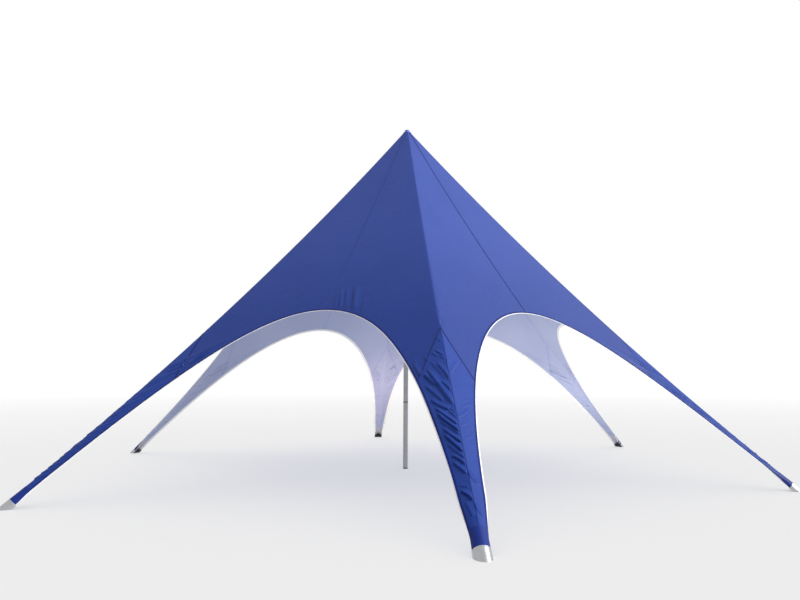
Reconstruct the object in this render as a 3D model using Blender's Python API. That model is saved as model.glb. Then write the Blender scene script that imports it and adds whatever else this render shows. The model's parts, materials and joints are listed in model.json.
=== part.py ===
# Star marquee: a fabric canopy stretched over one centre pole and pulled down to six feet.
# Metres, +Z up. The origin is on the ground under the pole, and the front leg points along -Y.
# Names say where a piece stands: front, front_right, rear_right, rear, rear_left, front_left.
import math

import bmesh
import bpy
from mathutils import Matrix, Vector

# Star
LEG_SIDES = ("front", "front_right", "rear_right", "rear", "rear_left", "front_left")
FACE_SIDES = ("front_right", "right", "rear_right", "rear_left", "left", "front_left")
LEG_STEP = math.radians(60)
FRONT = math.radians(-90)
FOOT_RADIUS = 5.0  # from the pole to where a ridge passes the top of its foot
FOOT_RIDGE_HEIGHT = 0.071
APEX_HEIGHT = 5.03  # where the six ridges would meet
RIDGE_SAG = 0.183  # how far a ridge hangs below its straight line, half way out
STRAIGHT_BELOW = 0.16  # the ridge runs straight through the foot

# Arches between the legs
ARCH_HEIGHT = 2.10
ARCH_HALF_WIDTH = 2.452
ARCH_POWER = 1.045
HEM_BEYOND = 0.025  # how far the white hem stands out past the edge of the blue cloth
HEM_LAP = 0.015
HEM_RISE = 0.72  # upward part of a step across the hem at the top of an arch
HEM_SPREAD = 1.09  # sideways part of a step across the hem at the foot of an arch

# Cloth
CLOTH = 0.006
SEAM_RIDGE_HEIGHT = 1.85  # the leg piece meets the crown along a V
SEAM_LEVEL = 0.614  # height of the ends of the V, as a fraction of the arch
TOP_HEIGHT = 4.985
CURL_FROM = 0.38  # below this height the leg curls from a fold into a half round
CURLED_BELOW = 0.11  # and from here down, in the foot, it is one
CURL_POWER = 1.5  # above 1, the curl starts gently
LEG_RADIUS = 0.0732
CURL_ANGLE = math.radians(84)  # from the ridge to the hem's edge, inside the foot

# Feet
SHELL_RADIUS = 0.0775
SHELL_WALL = 0.004
SHELL_LENGTH = 0.15
BLOCK_START = 0.012  # the block stops short of the shell's upper end

# Pole
POLE_RADIUS = 0.034
POLE_WALL = 0.003
PLUG_FLANGE = 0.012
LOWER_SECTION = 0.935
LOWER_SECTIONS = 4
SPIGOT_LENGTH = 0.08
CAP_HEIGHT = 0.026

GAP = 0.0003
SEAM_GAP = 0.0005
POLE_SIDES = 20
HALF_ROUND_SIDES = 12
LEVELS_ON_LEG = 11
LOWEST_LEVEL = 0.002  # the cloth ends just above the ground
LEVEL_CROWDING = 1.5  # above 1, the levels on a leg lie closer together at the foot
LEVELS_ON_CROWN = 7
LEG_COLUMNS = 3
CROWN_ROWS = 6
CAP_ROWS = 5
SHARP_ANGLE = math.radians(30)
SAME_PLACE = 1e-5
NO_AREA = 1e-10

SINK = APEX_HEIGHT - FOOT_RIDGE_HEIGHT + 4 * RIDGE_SAG
COS30 = math.cos(math.radians(30))


def ridge_share(z):
    """How far out the ridge is at height z, as a share of FOOT_RADIUS."""
    root = SINK * SINK - 16 * RIDGE_SAG * (APEX_HEIGHT - max(z, STRAIGHT_BELOW))
    return (SINK - math.sqrt(root)) / (8 * RIDGE_SAG)


def ridge_angle(z):
    return math.atan((SINK - 8 * RIDGE_SAG * ridge_share(z)) / FOOT_RADIUS)


FOOT_ANGLE = ridge_angle(0)


def ridge_radius(z):
    below = max(STRAIGHT_BELOW - z, 0)
    return FOOT_RADIUS * ridge_share(z) + below / math.tan(FOOT_ANGLE)


def arch_run(level, inset):
    """The height of a point on an arch, and its distance along the face from the ridge.

    `level` is its share of the arch's height, and `inset` how far it lies inside the blue edge.
    """
    height = (ARCH_HEIGHT + inset * HEM_RISE) * level
    half_width = ARCH_HALF_WIDTH + inset * HEM_SPREAD
    across = half_width * math.sqrt(max(1 - level ** (1 / ARCH_POWER), 0))
    return height, ridge_radius(height) / 2 - across


def run_at(z, inset):
    """Distance along the face from the ridge to an arch, at height z."""
    return arch_run(z / (ARCH_HEIGHT + inset * HEM_RISE), inset)[1]


def curl(z):
    return min(max((CURL_FROM - z) / (CURL_FROM - CURLED_BELOW), 0), 1) ** CURL_POWER


def cloth_point(z, run, depth, side):
    """A point of the canopy over the leg along +X, `depth` inside the outer surface.

    Level sections are straight from the ridge to the middle of a face. Near the foot they
    curl into the ellipse that a level cut makes through a sloping half round.
    """
    ridge = ridge_radius(z)
    face_angle = math.atan(math.tan(ridge_angle(z)) / COS30)
    fold_ridge = ridge - depth / (math.sin(face_angle) * COS30)
    fold_run = run * fold_ridge / ridge
    fold = Vector((fold_ridge - fold_run / 2, fold_run * COS30))
    share = curl(z)
    if share:
        turn = CURL_ANGLE * run / run_at(z, -HEM_BEYOND)
        stretch = 1 / math.sin(FOOT_ANGLE)
        radius = LEG_RADIUS - depth
        middle = ridge - LEG_RADIUS * stretch
        curled = Vector((middle + radius * stretch * math.cos(turn), radius * math.sin(turn)))
        fold = fold.lerp(curled, share)
    return Vector((fold.x, fold.y * side, z))


def panel(name, rows):
    """A closed sheet of cloth between an outer and an inner grid of points."""
    mesh = bpy.data.meshes.new(name)
    shape = bmesh.new()
    outer = [[shape.verts.new(point[0]) for point in row] for row in rows]
    inner = [[shape.verts.new(point[1]) for point in row] for row in rows]
    last_row, last_column = len(rows) - 1, len(rows[0]) - 1
    for i in range(last_row):
        for j in range(last_column):
            shape.faces.new((outer[i][j], outer[i + 1][j], outer[i + 1][j + 1], outer[i][j + 1]))
            shape.faces.new((inner[i][j], inner[i][j + 1], inner[i + 1][j + 1], inner[i + 1][j]))
    rim = [(0, j) for j in range(last_column)] + [(i, last_column) for i in range(last_row)]
    rim += [(last_row, j) for j in range(last_column, 0, -1)] + [(i, 0) for i in range(last_row, 0, -1)]
    for (i, j), (k, m) in zip(rim, rim[1:] + rim[:1]):
        shape.faces.new((outer[i][j], outer[k][m], inner[k][m], inner[i][j]))
    bmesh.ops.recalc_face_normals(shape, faces=shape.faces)
    shape.to_mesh(mesh)
    shape.free()
    return mesh


def both_sides(z, run, side, shift=0.0):
    """The outer and inner point of the cloth at one place, moved `shift` across the ridge."""
    points = [cloth_point(z, run, depth, side) for depth in (0.0, CLOTH)]
    return [point + Vector((0, shift * side, 0)) for point in points]


def levels_on_leg():
    """Shares of the arch's height from just above the ground to the V seam, closer at the foot."""
    steps = [i / LEVELS_ON_LEG for i in range(LEVELS_ON_LEG + 1)]
    return [LOWEST_LEVEL + (SEAM_LEVEL - LOWEST_LEVEL) * step**LEVEL_CROWDING for step in steps]


def levels_on_crown():
    """Shares of the arch's height from the V seam to its top, closer at the top."""
    steps = [i / LEVELS_ON_CROWN for i in range(LEVELS_ON_CROWN + 1)]
    return [1 - (1 - SEAM_LEVEL) * (1 - step) ** 2 for step in steps]


CLOTH_INSET = HEM_LAP + SEAM_GAP / 2
HEM_INSETS = (-HEM_BEYOND, (HEM_LAP - HEM_BEYOND) / 2, HEM_LAP - SEAM_GAP / 2)


def seam_height(share):
    """Height of the V seam, from the ridge at 0 to the hem at 1."""
    end = arch_run(SEAM_LEVEL, CLOTH_INSET)[0]
    return SEAM_RIDGE_HEIGHT + (end - SEAM_RIDGE_HEIGHT) * share


def leg_width(z):
    """Half the width of the leg piece: above the V's ends it stays the same, so the V is straight."""
    return run_at(min(z, arch_run(SEAM_LEVEL, CLOTH_INSET)[0]), CLOTH_INSET)


def leg_mesh():
    """The leg piece, folded over the ridge from the V seam down into the foot."""
    lowest = arch_run(levels_on_leg()[0], CLOTH_INSET)[0]
    end = arch_run(SEAM_LEVEL, CLOTH_INSET)[0]
    rows = []
    for level in levels_on_leg():
        rise = (arch_run(level, CLOTH_INSET)[0] - lowest) / (end - lowest)
        row = []
        for column in range(-LEG_COLUMNS, LEG_COLUMNS + 1):
            share = abs(column) / LEG_COLUMNS
            z = lowest + (seam_height(share) - SEAM_GAP / 2 - lowest) * rise
            run = share * leg_width(z)
            row.append(both_sides(z, run, 1 if column >= 0 else -1))
        rows.append(row)
    return panel("leg", rows)


def crown_mesh(side):
    """A crown piece, from the ridge to the middle of a face and from the peak to its edge."""
    bottoms = []
    for column in range(LEG_COLUMNS):
        share = column / LEG_COLUMNS
        z = seam_height(share)
        run = share * leg_width(z)
        bottoms.append((z + SEAM_GAP / 2, run))
    for level in levels_on_crown():
        z, run = arch_run(level, CLOTH_INSET)
        bottoms.append((z + SEAM_GAP / 2 if level == SEAM_LEVEL else z, run))
    rows = []
    for i in range(CROWN_ROWS + 1):
        row = []
        for z_bottom, run in bottoms:
            z = z_bottom + (TOP_HEIGHT - z_bottom) * i / CROWN_ROWS
            share = run / ridge_radius(z_bottom)
            half_face = ridge_radius(z) / 2
            along = min(share * ridge_radius(z), half_face - GAP / 2)  # a gap at the middle too
            row.append(both_sides(z, along, side, GAP / 2 if run == 0 else 0.0))
        rows.append(row)
    return panel("crown", rows)


def hem_mesh():
    """The hem of one arch, from foot to foot, over the face whose middle is along +X."""
    turn = Matrix.Rotation(LEG_STEP / 2, 3, "Z")
    levels = levels_on_leg() + levels_on_crown()[1:]
    half = []
    for level in levels:
        row = []
        for inset in HEM_INSETS:
            z, run = arch_run(level, inset)
            row.append([turn.transposed() @ point for point in both_sides(z, run, 1)])
        half.append(row)
    mirror = Matrix.Diagonal((1, -1, 1))
    other = [[[mirror @ point for point in pair] for pair in row] for row in half[:-1]]
    return panel("hem", half + other[::-1])


def half_round(outer, inner, start, length):
    """A half pipe, or a half rod where `inner` is 0, along the foot's axis and cut off at the ground.

    Its top line starts `start` down the slope from the shell's upper end.
    """
    step = math.pi / HALF_ROUND_SIDES
    angles = [step * i for i in range(HALF_ROUND_SIDES + 1)]
    profile = [(outer * math.cos(angle), outer * math.sin(angle)) for angle in angles]
    if inner:
        corner = inner / math.cos(step / 2)
        profile += [(corner * math.cos(angle), corner * math.sin(angle)) for angle in reversed(angles)]
    along = Vector((math.cos(FOOT_ANGLE), 0, -math.sin(FOOT_ANGLE)))
    up = Vector((math.sin(FOOT_ANGLE), 0, math.cos(FOOT_ANGLE)))
    across = Vector((0, 1, 0))
    ground = Vector((ridge_radius(0), 0, 0)) + up * (SHELL_RADIUS - LEG_RADIUS)
    ground += along * (ground.z / math.sin(FOOT_ANGLE))
    origin = ground - along * (SHELL_LENGTH - start) - up * SHELL_RADIUS
    shape = bmesh.new()
    ring = [shape.verts.new(origin + across * x + up * y) for x, y in profile]
    end = shape.faces.new(ring)
    pushed = bmesh.ops.extrude_face_region(shape, geom=[end])["geom"]
    verts = [item for item in pushed if isinstance(item, bmesh.types.BMVert)]
    bmesh.ops.translate(shape, verts=verts, vec=along * length)
    everything = shape.verts[:] + shape.edges[:] + shape.faces[:]
    cut = bmesh.ops.bisect_plane(
        shape, geom=everything, plane_co=(0, 0, 0), plane_no=(0, 0, -1), clear_outer=True
    )
    edges = [item for item in cut["geom_cut"] if isinstance(item, bmesh.types.BMEdge)]
    bmesh.ops.contextual_create(shape, geom=edges)
    bmesh.ops.recalc_face_normals(shape, faces=shape.faces)
    mesh = bpy.data.meshes.new("half_round")
    shape.to_mesh(mesh)
    shape.free()
    return mesh


def turned_mesh(name, profile):
    """A closed profile of (radius, height) points turned round the pole's axis."""
    shape = bmesh.new()
    verts = [shape.verts.new((radius, 0, height)) for radius, height in profile]
    edges = [shape.edges.new(pair) for pair in zip(verts, verts[1:] + verts[:1])]
    bmesh.ops.spin(
        shape,
        geom=verts + edges,
        axis=(0, 0, 1),
        cent=(0, 0, 0),
        steps=POLE_SIDES,
        angle=2 * math.pi,
        use_merge=True,
    )
    bmesh.ops.remove_doubles(shape, verts=shape.verts, dist=SAME_PLACE)
    flat = [face for face in shape.faces if face.calc_area() < NO_AREA]
    bmesh.ops.delete(shape, geom=flat, context="FACES")
    bmesh.ops.recalc_face_normals(shape, faces=shape.faces)
    mesh = bpy.data.meshes.new(name)
    shape.to_mesh(mesh)
    shape.free()
    return mesh


def material(name, colour, roughness, metallic=0.0):
    made = bpy.data.materials.new(name)
    made.use_nodes = True
    surface = made.node_tree.nodes["Principled BSDF"]
    surface.inputs["Base Color"].default_value = (*colour, 1)
    surface.inputs["Roughness"].default_value = roughness
    surface.inputs["Metallic"].default_value = metallic
    return made


def place(name, mesh, finish, parent, turn=0.0):
    """A node that shares its mesh with its twins and has its own material."""
    thing = bpy.data.objects.new(name, mesh.copy())
    thing.data.name = name
    thing.data.materials.append(material(name, *finish))
    thing.rotation_euler.z = turn
    thing.parent = parent
    thing.data.shade_smooth()
    thing.data.set_sharp_from_angle(angle=SHARP_ANGLE)
    bpy.context.collection.objects.link(thing)
    return thing


def clear_scene():
    for thing in list(bpy.data.objects):
        bpy.data.objects.remove(thing, do_unlink=True)


BLUE_CLOTH = ((0.045, 0.085, 0.36), 0.45)
WHITE_HEM = ((0.78, 0.79, 0.82), 0.5)
ALUMINIUM = ((0.62, 0.63, 0.65), 0.35, 1.0)
BLACK_RUBBER = ((0.012, 0.012, 0.015), 0.6)


def build_canopy(parent):
    leg = leg_mesh()
    crown_right, crown_left = crown_mesh(1), crown_mesh(-1)
    hem = hem_mesh()
    for i, (leg_side, face_side) in enumerate(zip(LEG_SIDES, FACE_SIDES)):
        turn = FRONT + LEG_STEP * i
        place("leg_panel_" + leg_side, leg, BLUE_CLOTH, parent, turn)
        place(f"crown_panel_right_of_{leg_side}_leg", crown_right, BLUE_CLOTH, parent, turn)
        place(f"crown_panel_left_of_{leg_side}_leg", crown_left, BLUE_CLOTH, parent, turn)
        place("arch_hem_" + face_side, hem, WHITE_HEM, parent, turn + LEG_STEP / 2)


def build_feet(parent):
    reach = 2 * SHELL_LENGTH + SHELL_RADIUS
    shell = half_round(SHELL_RADIUS, SHELL_RADIUS - SHELL_WALL, 0.0, reach)
    facet = CURL_ANGLE / (2 * LEG_COLUMNS + 1)
    inside_cloth = (LEG_RADIUS - CLOTH) * math.cos(facet) - GAP
    block = half_round(inside_cloth, 0.0, BLOCK_START, reach)
    for i, side in enumerate(LEG_SIDES):
        turn = FRONT + LEG_STEP * i
        place("foot_shell_" + side, shell, ALUMINIUM, parent, turn)
        place("foot_block_" + side, block, BLACK_RUBBER, parent, turn)


def tube_profile(bottom, top):
    """A tube whose upper end narrows to a spigot that the next tube slides over."""
    bore = POLE_RADIUS - POLE_WALL
    neck = bore - GAP
    return [
        (POLE_RADIUS, bottom),
        (POLE_RADIUS, top),
        (neck, top),
        (neck, top + SPIGOT_LENGTH),
        (neck - POLE_WALL, top + SPIGOT_LENGTH),
        (neck - POLE_WALL, top - POLE_WALL),
        (bore, top - 2 * POLE_WALL),
        (bore, bottom),
    ]


def build_pole(parent):
    bore = POLE_RADIUS - POLE_WALL
    plug = [(0, 0), (POLE_RADIUS, 0), (POLE_RADIUS, PLUG_FLANGE), (bore - GAP, PLUG_FLANGE)]
    plug += [(bore - GAP, PLUG_FLANGE + SPIGOT_LENGTH), (0, PLUG_FLANGE + SPIGOT_LENGTH)]
    place("pole_base_plug", turned_mesh("plug", plug), BLACK_RUBBER, parent)
    bottom = PLUG_FLANGE + GAP
    for number in range(1, LOWER_SECTIONS + 1):
        top = bottom + LOWER_SECTION
        place(f"pole_section_{number}", turned_mesh("tube", tube_profile(bottom, top)), ALUMINIUM, parent)
        bottom = top + GAP
    widest, narrowest = head_heights()
    tube = [(POLE_RADIUS, bottom), (POLE_RADIUS, widest - GAP), (bore, widest - GAP), (bore, bottom)]
    number = LOWER_SECTIONS + 1
    place(f"pole_section_{number}", turned_mesh("tube", tube), ALUMINIUM, parent)
    head = [(0, widest - SPIGOT_LENGTH), (bore - GAP, widest - SPIGOT_LENGTH), (bore - GAP, widest)]
    head += [(POLE_RADIUS, widest), (head_radius(narrowest), narrowest), (0, narrowest)]
    place("pole_head", turned_mesh("head", head), BLACK_RUBBER, parent)


def head_radius(z):
    """The widest round that fits under the cloth at height z."""
    face_angle = math.atan(math.tan(ridge_angle(z)) / COS30)
    return (ridge_radius(z) * COS30 - CLOTH / math.sin(face_angle)) - GAP


def head_heights():
    """Where the head is as wide as the tube, and where it meets the cap."""
    widest = TOP_HEIGHT
    while head_radius(widest) < POLE_RADIUS:
        widest -= GAP
    return widest, TOP_HEIGHT


def build_cap(parent):
    """A small rounded cap sewn over the hole in the peak."""
    radius = ridge_radius(TOP_HEIGHT) * COS30
    base = TOP_HEIGHT + GAP
    arc = [math.pi / 2 * i / CAP_ROWS for i in range(CAP_ROWS)]
    profile = [(0, base)]
    profile += [(radius * math.cos(a), base + CAP_HEIGHT * math.sin(a)) for a in arc]
    profile += [(0, base + CAP_HEIGHT)]
    place("peak_cap", turned_mesh("cap", profile), BLUE_CLOTH, parent)


def main():
    clear_scene()
    marquee = bpy.data.objects.new("marquee", None)
    bpy.context.collection.objects.link(marquee)
    build_canopy(marquee)
    build_feet(marquee)
    build_pole(marquee)
    build_cap(marquee)


main()
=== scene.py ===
import json
import math

import bpy
import numpy as np
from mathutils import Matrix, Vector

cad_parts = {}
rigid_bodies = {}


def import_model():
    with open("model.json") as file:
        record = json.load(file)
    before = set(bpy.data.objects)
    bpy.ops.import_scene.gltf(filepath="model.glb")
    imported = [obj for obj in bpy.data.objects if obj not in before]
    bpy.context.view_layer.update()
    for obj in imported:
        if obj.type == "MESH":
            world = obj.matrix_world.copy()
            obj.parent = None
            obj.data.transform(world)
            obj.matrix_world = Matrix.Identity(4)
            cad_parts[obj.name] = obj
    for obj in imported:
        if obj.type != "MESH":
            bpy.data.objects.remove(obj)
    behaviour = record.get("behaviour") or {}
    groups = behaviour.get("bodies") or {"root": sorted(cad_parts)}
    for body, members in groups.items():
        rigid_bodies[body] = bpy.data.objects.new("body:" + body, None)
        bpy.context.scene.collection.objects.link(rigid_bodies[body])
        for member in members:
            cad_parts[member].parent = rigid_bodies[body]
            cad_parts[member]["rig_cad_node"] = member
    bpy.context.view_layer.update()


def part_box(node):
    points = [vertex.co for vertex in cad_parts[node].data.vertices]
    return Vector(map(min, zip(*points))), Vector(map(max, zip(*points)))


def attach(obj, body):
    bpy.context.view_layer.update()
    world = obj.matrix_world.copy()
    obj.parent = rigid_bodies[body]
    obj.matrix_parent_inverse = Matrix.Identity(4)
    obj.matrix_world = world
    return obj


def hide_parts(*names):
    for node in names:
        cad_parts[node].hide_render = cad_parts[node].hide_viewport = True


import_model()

legNames = ["front", "front_right", "rear_right", "rear", "rear_left", "front_left"]
faceNames = ["front_right", "right", "rear_right", "rear_left", "left", "front_left"]
legTurns = [math.radians(-90 + 60 * i) for i in range(6)]
cos30 = math.cos(math.pi / 6)

# The star's own shape, the same as the frame's. Metres.
star = dict(
    footRadius=5.0,  # pole to where a ridge passes the top of its foot
    footRidge=0.071,
    apex=5.03,
    sag=0.183,  # how far a ridge hangs below its straight line
    straightBelow=0.16,
    archHeight=2.10,
    archHalfWidth=2.452,
    archPower=1.045,
    hemRise=0.72,
    hemSpread=1.09,
    top=4.985,
    seamRidge=1.85,  # height of the V seam on the ridge
    seamLevel=0.614,  # its height at the hem, as a share of the arch
    curlFrom=0.38,  # below this height a leg curls from a fold into a half round
    curledBelow=0.11,
    curlPower=1.5,
    legRadius=0.0732,
    curlAngle=math.radians(84),
    hemBeyond=0.025,
    blueEdge=-0.011,  # inset of the blue cloth's edge, with 14 mm of white webbing past it
    askew=0.022,  # the left hem of the front leg is pitched this much further out
    ridgeRound=0.014,
)
sink = star["apex"] - star["footRidge"] + 4 * star["sag"]


# How far out the ridge is at height z: the root of a parabola that hangs between apex and foot.
def ridgeShare(z):
    drop = star["apex"] - np.maximum(z, star["straightBelow"])
    return (sink - np.sqrt(sink**2 - 16 * star["sag"] * drop)) / (8 * star["sag"])


# How steeply the ridge rises there: the parabola's slope over the foot's distance.
def ridgeSlope(z):
    return (sink - 8 * star["sag"] * ridgeShare(z)) / star["footRadius"]


footAngle = math.atan(ridgeSlope(0.0))


# The ridge's distance from the pole. Near the ground it goes straight on at the foot's slope.
def ridgeRadius(z):
    below = np.maximum(star["straightBelow"] - z, 0)
    return star["footRadius"] * ridgeShare(z) + below / math.tan(footAngle)


# A point of an arch: height, and distance along the face from the ridge.
# Half the face's width less the arch's half width, which shrinks as root(1 - level^(1/p)).
def archPoint(level, inset):
    height = (star["archHeight"] + inset * star["hemRise"]) * level
    halfWidth = star["archHalfWidth"] + inset * star["hemSpread"]
    across = halfWidth * np.sqrt(np.maximum(1 - level ** (1 / star["archPower"]), 0))
    return height, ridgeRadius(height) / 2 - across


# How far the hem is from the ridge at height z, which is what the arch gives at that level.
def runToHem(z, inset):
    return archPoint(z / (star["archHeight"] + inset * star["hemRise"]), inset)[1]


# Eases from 0 to 1: the share squared times 3 less twice the share.
def smooth(share):
    share = np.clip(share, 0, 1)
    return share * share * (3 - 2 * share)


# A point of the cloth on the leg that lies along +X, run metres from the ridge along the face.
# Level sections go straight from the ridge to the middle of the face, rounded over the ridge,
# and near the foot they blend into the ellipse that a level cut makes in a sloping half round.
def clothPoint(z, run, depth):
    z, run, depth = np.broadcast_arrays(z, run, depth)
    ridge = ridgeRadius(z)
    faceAngle = np.arctan(ridgeSlope(z) / cos30)
    foldRidge = ridge - depth / (np.sin(faceAngle) * cos30)
    foldRun = run * foldRidge / ridge
    x = foldRidge - np.sqrt(foldRun**2 + star["ridgeRound"] ** 2) / 2
    y = foldRun * cos30
    share = (star["curlFrom"] - z) / (star["curlFrom"] - star["curledBelow"])
    share = np.clip(share, 0, 1) ** star["curlPower"]
    turn = star["curlAngle"] * run / runToHem(np.minimum(z, 1.0), -star["hemBeyond"])
    stretch = 1 / math.sin(footAngle)
    radius = star["legRadius"] - depth
    curledX = ridge - star["legRadius"] * stretch + radius * stretch * np.cos(turn)
    curledY = radius * np.sin(turn)
    return np.stack([x + (curledX - x) * share, y + (curledY - y) * share, z], -1)


# Points turned round the pole by an angle.
def turned(points, angle):
    c, s = math.cos(angle), math.sin(angle)
    x, y, z = points[..., 0], points[..., 1], points[..., 2]
    return np.stack([x * c - y * s, x * s + y * c, z], -1)


# Distance down the middle of a face, from the peak to height z, by adding up short steps.
stepHeights = np.linspace(0.0, star["apex"], 2001)
stepRadii = ridgeRadius(stepHeights) * cos30
stepLengths = np.hypot(np.diff(stepHeights), np.diff(stepRadii))
downFace = np.concatenate([np.cumsum(stepLengths[::-1])[::-1], [0.0]])


# A place on the flat cut of a face: across from its middle, and down from the peak.
def flatPlace(z, run):
    return ridgeRadius(z) / 2 - np.abs(run), np.interp(z, stepHeights, downFace)


# Folds are lines drawn on the cloth: points of (height, distance from the ridge), then the
# depth and the half width of the fold in millimetres. Minus is left of the ridge from outside.
frontLegFolds = [
    ([(1.352, -0.263), (1.296, -0.205), (1.248, -0.160)], 13, 11),
    ([(1.397, -0.225), (1.310, -0.166), (1.205, -0.100), (1.119, -0.047), (1.076, -0.009)], 15, 12),
    ([(1.249, -0.278), (1.204, -0.221), (1.111, -0.118)], 9, 10),
    ([(1.122, -0.236), (1.085, -0.179), (1.051, -0.103), (1.034, -0.052)], 10, 10),
    ([(1.048, -0.214), (1.022, -0.163), (0.973, -0.092), (0.917, -0.010)], 11, 8),
    ([(1.010, -0.190), (0.955, -0.136), (0.905, -0.065), (0.855, -0.004)], 15, 9),
    ([(0.942, -0.179), (0.892, -0.108), (0.836, -0.008)], 7, 8),
    ([(0.884, -0.164), (0.839, -0.106), (0.774, -0.004)], 12, 9),
    ([(0.831, -0.157), (0.786, -0.105), (0.739, -0.051), (0.701, -0.008)], 15, 9),
    ([(0.757, -0.144), (0.708, -0.084), (0.652, -0.001)], 8, 9),
    ([(0.668, -0.123), (0.652, -0.069), (0.612, -0.016)], 11, 8),
    ([(0.622, -0.122), (0.586, -0.074), (0.545, -0.019)], 11, 8),
    ([(1.452, -0.105), (1.370, -0.039), (1.304, -0.011)], 9, 9),
    ([(1.438, -0.152), (1.376, -0.097), (1.329, -0.062)], 4, 8),
    ([(1.290, -0.091), (1.251, -0.049), (1.213, -0.015)], 8, 8),
    ([(1.026, -0.074), (0.975, -0.011)], 4, 6),
    ([(1.051, -0.062), (1.011, -0.009)], 3, 6),
    ([(0.419, -0.097), (0.399, -0.044), (0.363, -0.009)], 13, 8),
    ([(0.456, -0.106), (0.446, -0.025)], 3, 7),
    ([(0.345, -0.083), (0.300, -0.061), (0.257, -0.047)], 6, 10),
    ([(1.732, -0.076), (1.688, -0.020)], 3, 6),
    ([(1.596, -0.105), (1.547, -0.023)], 6, 7),
    ([(1.572, -0.144), (1.531, -0.087)], 5, 7),
    ([(1.550, -0.076), (1.510, -0.017)], 4, 6),
    ([(1.470, -0.170), (1.419, -0.106), (1.375, -0.079)], 4, 7),
    ([(1.470, -0.115), (1.431, -0.056)], 4, 6),
    ([(1.467, -0.363), (1.413, -0.345), (1.340, -0.307)], 7, 9),
    ([(1.494, -0.363), (1.460, -0.326)], 4, 7),
    ([(1.528, -0.241), (1.482, -0.205)], 4, 7),
    ([(0.979, 0.026), (0.996, 0.102), (1.036, 0.179)], 4, 8),
    ([(1.051, 0.093), (1.078, 0.197)], 2.5, 7),
    ([(1.102, 0.108), (1.117, 0.187)], 2, 7),
    ([(0.905, 0.042), (0.922, 0.131)], 2, 7),
    ([(0.798, 0.068), (0.816, 0.148)], 2, 7),
    ([(1.373, 0.036), (1.488, 0.172)], 3, 9),
    ([(0.575, 0.009), (0.510, 0.056), (0.463, 0.108)], 6, 8),
    ([(0.353, 0.011), (0.298, 0.048), (0.242, 0.109)], 6, 8),
    ([(1.478, 0.000), (1.511, 0.076)], 2.5, 7),
    ([(1.962, 0.000), (1.896, 0.021), (1.846, 0.046)], 4, 9),
    ([(2.077, 0.030), (1.991, 0.059)], 2, 8),
    ([(2.080, -1.023), (2.373, -0.976)], 12, 15),
    ([(2.093, -1.120), (2.366, -1.092)], 8, 12),
    ([(2.109, -1.196), (2.343, -1.169)], 8, 12),
    ([(2.119, -1.257), (2.317, -1.220)], 6, 11),
    ([(2.038, -0.920), (2.223, -0.863)], 5, 13),
]

herringbone = dict(
    lowest=0.27,
    highest=1.74,
    endsAbove=0.24,
    spacing=0.05,  # between folds, up the leg
    uneven=(0.8, 1.25),  # a spacing is this much of it, by chance
    starts=(0.8, 0.93),  # where a fold starts and ends, as shares of the hem's run
    ends=(0.04, 0.25),
    drop=0.72,  # how far a fold falls for each metre of its run
    bow=0.004,  # its middle hangs this much lower than a straight line
    depth=(4.0, 7.0),  # millimetres
    halfWidth=(7.5, 9),
)


# Both halves of a leg get folds that fall from the hem to the ridge, each a little different.
def herringboneFolds(seed):
    dice = np.random.default_rng(seed)
    folds = []
    for side in (-1, 1):
        z = herringbone["lowest"] + dice.uniform(0, herringbone["spacing"])
        while z < herringbone["highest"]:
            run = float(runToHem(z, 0.0))
            start, end = dice.uniform(*herringbone["starts"]), dice.uniform(*herringbone["ends"])
            low = z - (start - end) * run * herringbone["drop"]
            if low > herringbone["endsAbove"]:
                middle = ((z + low) / 2 - herringbone["bow"], side * run * (start + end) / 2)
                path = [(z, side * run * start), middle, (low, side * float(runToHem(low, 0.0)) * end)]
                depth = dice.uniform(*herringbone["depth"])
                folds.append((path, depth, dice.uniform(*herringbone["halfWidth"])))
            z += herringbone["spacing"] * dice.uniform(*herringbone["uneven"])
    return folds


legFolds = [frontLegFolds] + [herringboneFolds(20 + i) for i in range(1, 6)]


foldForm = dict(
    strength=1.2,  # times the listed depth
    reach=(-0.1, 1.05),  # the line goes on a little past its first and last point
    fade=0.2,  # share of the line over which a fold dies out at either end
    ridgeGap=0.012,
    narrowest=0.6,  # share of the width that is left at the ends
    steep=1.1,
    gentle=0.14,
    valley=(0.4, 0.6, 1.2),  # depth, distance before the line, and sharpness
    rollTowards=(0.56, 0.79),  # across and down the cut
)


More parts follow.
